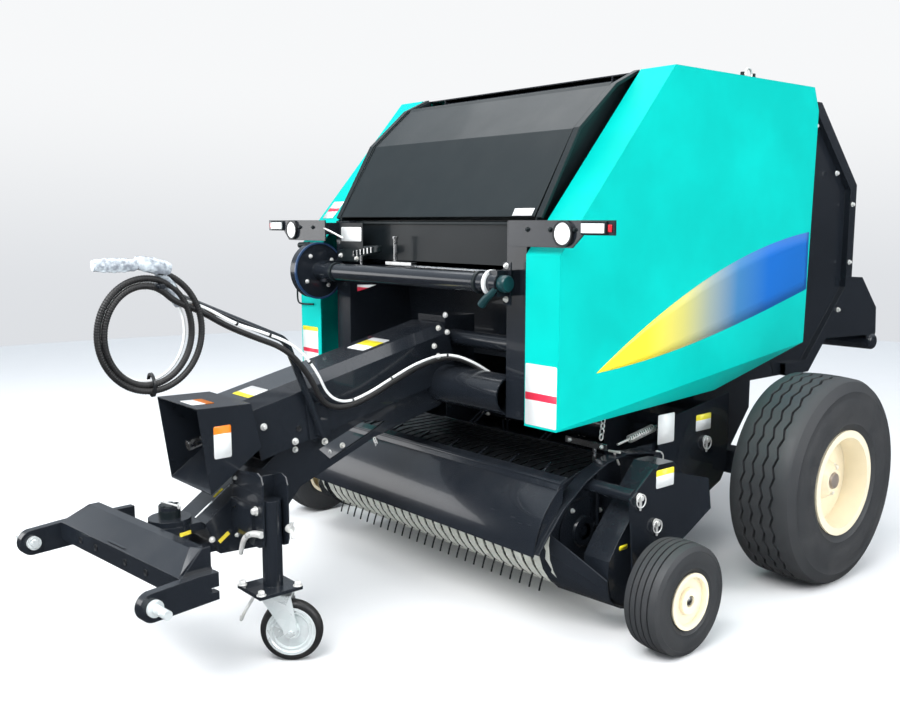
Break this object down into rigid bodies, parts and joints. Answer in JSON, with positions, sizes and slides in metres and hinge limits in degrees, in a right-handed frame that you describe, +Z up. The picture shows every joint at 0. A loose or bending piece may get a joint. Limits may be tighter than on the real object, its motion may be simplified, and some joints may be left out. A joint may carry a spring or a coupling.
{
  "type": "round baler",
  "caption": "Towed round baler with a roller chamber, hydraulic tailgate, tined pickup, net box, guarded PTO line, swinging hitch yoke and a caster jack.",
  "frame": {"origin": "On the ground under the middle of the machine's length and width.", "axes": "+X to the machine's left, +Y rearward, +Z up; it is towed towards -Y."},
  "size_m": [2.356, 4.2371, 2.12],
  "materials": {
    "turquoise_paint": "gloss",
    "charcoal_paint": "satin",
    "dark_paint": "gloss",
    "rim_paint": "gloss",
    "galvanised": "satin",
    "zinc": "satin",
    "bright_steel": "satin",
    "chrome_rod": "polished",
    "tyre_rubber": "matte",
    "rubber": "matte",
    "black_rubber": "satin",
    "white_cable": "satin",
    "clear_plastic": "gloss",
    "lamp_lens": "gloss"
  },
  "bodies": {
    "chassis": {"axle_beam": "dark_paint", "cable_run": "white_cable", "chamber_frame": "dark_paint", "cross_tube": "dark_paint", "drawbar": "dark_paint", "feed_floor": "dark_paint", "front_lamps": "lamp_lens", "front_posts": "dark_paint", "front_rollers": "dark_paint", "gearbox": "dark_paint", "hose_coil": "black_rubber", "hose_holder": "dark_paint", "hose_plugs": "clear_plastic", "hose_run": "black_rubber", "jack_sleeve": "dark_paint", "king_pin": "zinc", "lamp_brackets": "dark_paint", "net_box": "charcoal_paint", "net_feed": "bright_steel", "pto_hood": "dark_paint", "pto_tunnel": "dark_paint", "roll_carrier": "dark_paint", "roof_sheet": "dark_paint", "side_frame_left": "dark_paint", "side_frame_right": "dark_paint", "top_fittings": "dark_paint"},
    "wheel_left": {"tyre_left": "tyre_rubber", "rim_left": "rim_paint"},
    "wheel_right": {"tyre_right": "tyre_rubber", "rim_right": "rim_paint"},
    "pickup": {"pickup_frame": "dark_paint", "pickup_bands": "galvanised", "drive_case": "dark_paint", "wheel_carrier_left": "dark_paint", "wheel_carrier_right": "dark_paint"},
    "pickup_reel": {"pickup_reel": "dark_paint"},
    "gauge_wheel_left": {"gauge_tyre_left": "tyre_rubber", "gauge_rim_left": "rim_paint"},
    "gauge_wheel_right": {"gauge_tyre_right": "tyre_rubber", "gauge_rim_right": "rim_paint"},
    "windguard": {"windguard": "dark_paint"},
    "feed_rotor": {"feed_rotor": "dark_paint"},
    "tailgate": {"gate_frame": "dark_paint", "gate_rollers": "dark_paint", "rear_guard": "dark_paint", "rear_bar": "dark_paint"},
    "gate_barrel_left": {"gate_barrel_left": "dark_paint"},
    "gate_barrel_right": {"gate_barrel_right": "dark_paint"},
    "gate_ram_left": {"gate_ram_left": "chrome_rod"},
    "gate_ram_right": {"gate_ram_right": "chrome_rod"},
    "net_lid": {"net_lid": "charcoal_paint"},
    "cover_left": {"cover_left": "turquoise_paint"},
    "cover_right": {"cover_right": "turquoise_paint"},
    "jack_leg": {"jack_leg": "dark_paint"},
    "caster_fork": {"caster_fork": "zinc"},
    "caster_wheel": {"caster_wheel": "rubber"},
    "hitch_yoke": {"hitch_yoke": "dark_paint", "link_pins": "zinc"},
    "drive_shaft": {"drive_shaft": "bright_steel"}
  },
  "joints": [
    {"name": "wheel_left_spin", "type": "hinge", "parent": "chassis", "child": "wheel_left", "pos_m": [1.03, 0.58, 0.4225], "axis": [1, 0, 0], "continuous": true},
    {"name": "wheel_right_spin", "type": "hinge", "parent": "chassis", "child": "wheel_right", "pos_m": [-1.03, 0.58, 0.4225], "axis": [1, 0, 0], "continuous": true},
    {"name": "pickup_lift", "type": "hinge", "parent": "chassis", "child": "pickup", "pos_m": [0, 0.293, 0.553], "axis": [-1, 0, 0], "range_deg": [0, 8]},
    {"name": "reel_spin", "type": "hinge", "parent": "pickup", "child": "pickup_reel", "pos_m": [0, -0.455, 0.33], "axis": [1, 0, 0], "continuous": true},
    {"name": "gauge_left_spin", "type": "hinge", "parent": "pickup", "child": "gauge_wheel_left", "pos_m": [1.105, -0.434, 0.195], "axis": [1, 0, 0], "continuous": true},
    {"name": "gauge_right_spin", "type": "hinge", "parent": "pickup", "child": "gauge_wheel_right", "pos_m": [-1.105, -0.434, 0.195], "axis": [1, 0, 0], "continuous": true},
    {"name": "windguard_lift", "type": "hinge", "parent": "pickup", "child": "windguard", "pos_m": [0, -0.11, 0.558], "axis": [-1, 0, 0], "range_deg": [0, 7]},
    {"name": "rotor_spin", "type": "hinge", "parent": "chassis", "child": "feed_rotor", "pos_m": [0, 0.08, 0.6], "axis": [1, 0, 0], "continuous": true},
    {"name": "gate_hinge", "type": "hinge", "parent": "chassis", "child": "tailgate", "pos_m": [0, 0.93, 1.975], "axis": [1, 0, 0], "range_deg": [0, 65]},
    {"name": "gate_barrel_left_pivot", "type": "hinge", "parent": "chassis", "child": "gate_barrel_left", "pos_m": [0.572, 0.85, 0.88], "axis": [1, 0, 0], "range_deg": [0, 3.6]},
    {"name": "gate_ram_left_slide", "type": "slide", "parent": "gate_barrel_left", "child": "gate_ram_left", "axis": [0, 0.3677, 0.93], "range_m": [0, 0.372]},
    {"name": "gate_barrel_right_pivot", "type": "hinge", "parent": "chassis", "child": "gate_barrel_right", "pos_m": [-0.572, 0.85, 0.88], "axis": [1, 0, 0], "range_deg": [0, 3.6]},
    {"name": "gate_ram_right_slide", "type": "slide", "parent": "gate_barrel_right", "child": "gate_ram_right", "axis": [0, 0.3677, 0.93], "range_m": [0, 0.372]},
    {"name": "net_lid_hinge", "type": "hinge", "parent": "chassis", "child": "net_lid", "pos_m": [0, -0.214, 1.952], "axis": [-1, 0, 0], "range_deg": [0, 60]},
    {"name": "cover_left_hinge", "type": "hinge", "parent": "chassis", "child": "cover_left", "pos_m": [0.638, 0, 2.01], "axis": [0, -1, 0], "range_deg": [0, 60]},
    {"name": "cover_right_hinge", "type": "hinge", "parent": "chassis", "child": "cover_right", "pos_m": [-0.638, 0, 2.01], "axis": [0, 1, 0], "range_deg": [0, 60]},
    {"name": "jack_slide", "type": "slide", "parent": "chassis", "child": "jack_leg", "axis": [0, 0, 1], "range_m": [0, 0.12]},
    {"name": "caster_swivel", "type": "hinge", "parent": "jack_leg", "child": "caster_fork", "pos_m": [0.28, -1.507, 0.24], "axis": [0, 0, 1], "continuous": true},
    {"name": "caster_spin", "type": "hinge", "parent": "caster_fork", "child": "caster_wheel", "pos_m": [0.31816, -1.462, 0.105], "axis": [0.7627, -0.6468, 0], "continuous": true},
    {"name": "yoke_swing", "type": "hinge", "parent": "chassis", "child": "hitch_yoke", "pos_m": [0, -1.735, 0.4], "axis": [0, 0, 1], "range_deg": [-20.5, 9.5]},
    {"name": "shaft_spin", "type": "hinge", "parent": "chassis", "child": "drive_shaft", "pos_m": [0, -1.47532, 0.74886], "axis": [0, 0.9735, 0.2285], "continuous": true}
  ],
  "couplings": [
    {"joint": "gate_barrel_left_pivot", "follows": "gate_hinge", "ratio": 0.05314},
    {"joint": "gate_ram_left_slide", "follows": "gate_hinge", "m_per_rad": 0.32684},
    {"joint": "gate_barrel_right_pivot", "follows": "gate_hinge", "ratio": 0.05314},
    {"joint": "gate_ram_right_slide", "follows": "gate_hinge", "m_per_rad": 0.32684}
  ]
}
